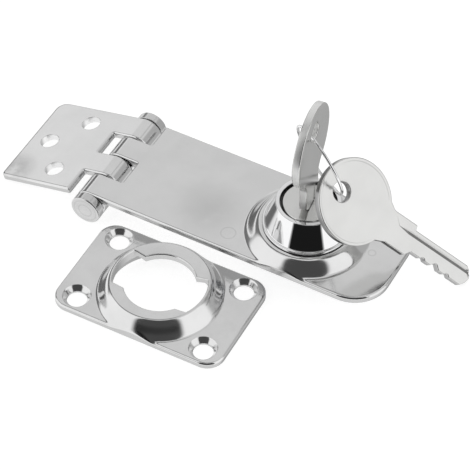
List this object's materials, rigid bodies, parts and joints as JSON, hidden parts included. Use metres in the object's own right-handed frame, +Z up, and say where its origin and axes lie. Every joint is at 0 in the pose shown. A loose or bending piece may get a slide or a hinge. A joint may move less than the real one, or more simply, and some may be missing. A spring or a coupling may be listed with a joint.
{
  "type": "keyed hasp latch",
  "caption": "Keyed hasp latch: a hinged strap with a domed cylinder lock, a domed strike plate with four screw holes, and a pair of flat keys on a wire ring.",
  "frame": {"origin": "under the middle of the whole set's bounding box, at the level that the latch stands on", "axes": "+X along the strap from its hinge to its rounded end, +Y from the strike plate to the strap, +Z up"},
  "size_m": [0.1298, 0.0672, 0.0535],
  "materials": {
    "polished_stainless": "polished",
    "chrome": "mirror polished",
    "satin_nickel": "satin",
    "zinc_plating": "plated",
    "brass": "stamped",
    "spring_steel": "plain"
  },
  "bodies": {
    "hasp": {"hasp_strap": "polished_stainless", "hinge_pin": "polished_stainless", "lock_housing": "chrome", "lock_nut": "zinc_plating", "toothed_washer": "spring_steel", "strike_plate": "polished_stainless"},
    "leaf": {"hinge_leaf": "polished_stainless"},
    "plug": {"lock_plug": "satin_nickel", "stop_washer": "zinc_plating", "cam_plate": "zinc_plating", "tail_clip": "spring_steel", "wafer_spring_1": "spring_steel", "wafer_spring_2": "spring_steel", "wafer_spring_3": "spring_steel", "wafer_spring_4": "spring_steel", "wafer_spring_5": "spring_steel"},
    "wafer_1": {"wafer_1": "brass"},
    "wafer_2": {"wafer_2": "brass"},
    "wafer_3": {"wafer_3": "brass"},
    "wafer_4": {"wafer_4": "brass"},
    "wafer_5": {"wafer_5": "brass"},
    "key": {"key_in_lock": "satin_nickel"},
    "ring": {"key_ring": "chrome"},
    "spare": {"spare_key": "satin_nickel"}
  },
  "joints": [
    {"name": "leaf_fold", "type": "hinge", "parent": "hasp", "child": "leaf", "pos_m": [-0.03607, 0.01499, 0.0044], "axis": [0, 1, 0], "range_deg": [-166.4, 115]},
    {"name": "plug_turn", "type": "hinge", "parent": "hasp", "child": "plug", "pos_m": [0.02223, 0.01499, 0], "axis": [0, 0, 1], "range_deg": [0, 90]},
    {"name": "wafer_1_slide", "type": "slide", "parent": "plug", "child": "wafer_1", "axis": [-0.1288, 0.9917, 0], "range_m": [0, 0.0005], "stiffness_N_per_m": 20},
    {"name": "wafer_2_slide", "type": "slide", "parent": "plug", "child": "wafer_2", "axis": [-0.1288, 0.9917, 0], "range_m": [0, 0.0005], "stiffness_N_per_m": 20},
    {"name": "wafer_3_slide", "type": "slide", "parent": "plug", "child": "wafer_3", "axis": [-0.1288, 0.9917, 0], "range_m": [0, 0.0005], "stiffness_N_per_m": 20},
    {"name": "wafer_4_slide", "type": "slide", "parent": "plug", "child": "wafer_4", "axis": [-0.1288, 0.9917, 0], "range_m": [0, 0.0005], "stiffness_N_per_m": 20},
    {"name": "wafer_5_slide", "type": "slide", "parent": "plug", "child": "wafer_5", "axis": [-0.1288, 0.9917, 0], "range_m": [0, 0.0005], "stiffness_N_per_m": 20},
    {"name": "key_slide", "type": "slide", "parent": "plug", "child": "key", "axis": [0, 0, 1], "range_m": [0, 0.0225]},
    {"name": "ring_swing", "type": "hinge", "parent": "key", "child": "ring", "pos_m": [0.02221, 0.01514, 0.047], "axis": [0.9917, 0.1288, 0], "range_deg": [-2, 45]},
    {"name": "spare_key_swing", "type": "hinge", "parent": "ring", "child": "spare", "pos_m": [0.03218, 0.01268, 0.0317], "axis": [0.7229, -0.2193, 0.6553], "range_deg": [-10, 40]}
  ]
}
